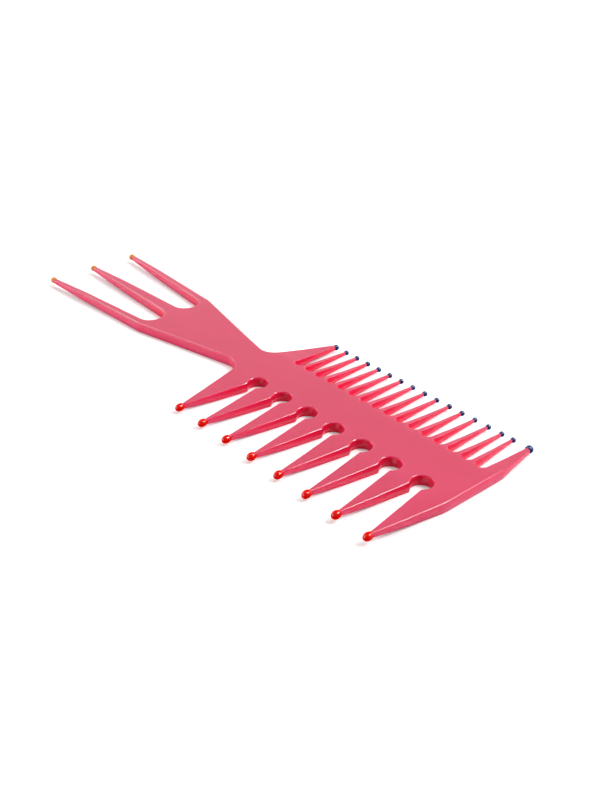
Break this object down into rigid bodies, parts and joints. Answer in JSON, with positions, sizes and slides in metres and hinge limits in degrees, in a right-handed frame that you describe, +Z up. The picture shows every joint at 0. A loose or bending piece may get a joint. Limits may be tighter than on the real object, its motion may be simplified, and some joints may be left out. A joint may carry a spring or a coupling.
{
  "type": "double-sided hair comb with a fork handle",
  "caption": "Flat moulded hair comb with wide keyhole teeth on one side, fine teeth on the other, a forked pick as its handle and a resin bead on every tip.",
  "frame": {"origin": "under the middle of the outline, on the surface that the comb lies on", "axes": "+X along the comb from the fork to the head, +Y from the wide teeth to the fine teeth, +Z up through the thickness"},
  "size_m": [0.2368, 0.0776, 0.004],
  "materials": {
    "pink_plastic": "semi-gloss moulded pink plastic, slightly translucent",
    "red_resin": "glossy dipped red resin",
    "navy_resin": "glossy dipped dark blue resin",
    "gold_resin": "glossy dipped amber resin"
  },
  "bodies": {
    "root": {"spine": "pink_plastic", "handle": "pink_plastic", "wide_tooth_1": "pink_plastic", "wide_tooth_2": "pink_plastic", "wide_tooth_3": "pink_plastic", "wide_tooth_4": "pink_plastic", "wide_tooth_5": "pink_plastic", "wide_tooth_6": "pink_plastic", "wide_tooth_7": "pink_plastic", "wide_tooth_8": "pink_plastic", "fine_tooth_1": "pink_plastic", "fine_tooth_2": "pink_plastic", "fine_tooth_3": "pink_plastic", "fine_tooth_4": "pink_plastic", "fine_tooth_5": "pink_plastic", "fine_tooth_6": "pink_plastic", "fine_tooth_7": "pink_plastic", "fine_tooth_8": "pink_plastic", "fine_tooth_9": "pink_plastic", "fine_tooth_10": "pink_plastic", "fine_tooth_11": "pink_plastic", "fine_tooth_12": "pink_plastic", "fine_tooth_13": "pink_plastic", "fine_tooth_14": "pink_plastic", "fine_tooth_15": "pink_plastic", "fine_tooth_16": "pink_plastic", "fine_tooth_17": "pink_plastic", "fork_prong_1": "pink_plastic", "fork_prong_2": "pink_plastic", "fork_prong_3": "pink_plastic", "wide_bead_1": "red_resin", "wide_bead_2": "red_resin", "wide_bead_3": "red_resin", "wide_bead_4": "red_resin", "wide_bead_5": "red_resin", "wide_bead_6": "red_resin", "wide_bead_7": "red_resin", "wide_bead_8": "red_resin", "fine_bead_1": "navy_resin", "fine_bead_2": "navy_resin", "fine_bead_3": "navy_resin", "fine_bead_4": "navy_resin", "fine_bead_5": "navy_resin", "fine_bead_6": "navy_resin", "fine_bead_7": "navy_resin", "fine_bead_8": "navy_resin", "fine_bead_9": "navy_resin", "fine_bead_10": "navy_resin", "fine_bead_11": "navy_resin", "fine_bead_12": "navy_resin", "fine_bead_13": "navy_resin", "fine_bead_14": "navy_resin", "fine_bead_15": "navy_resin", "fine_bead_16": "navy_resin", "fine_bead_17": "navy_resin", "fork_bead_1": "gold_resin", "fork_bead_2": "gold_resin", "fork_bead_3": "gold_resin"}
  },
  "joints": []
}
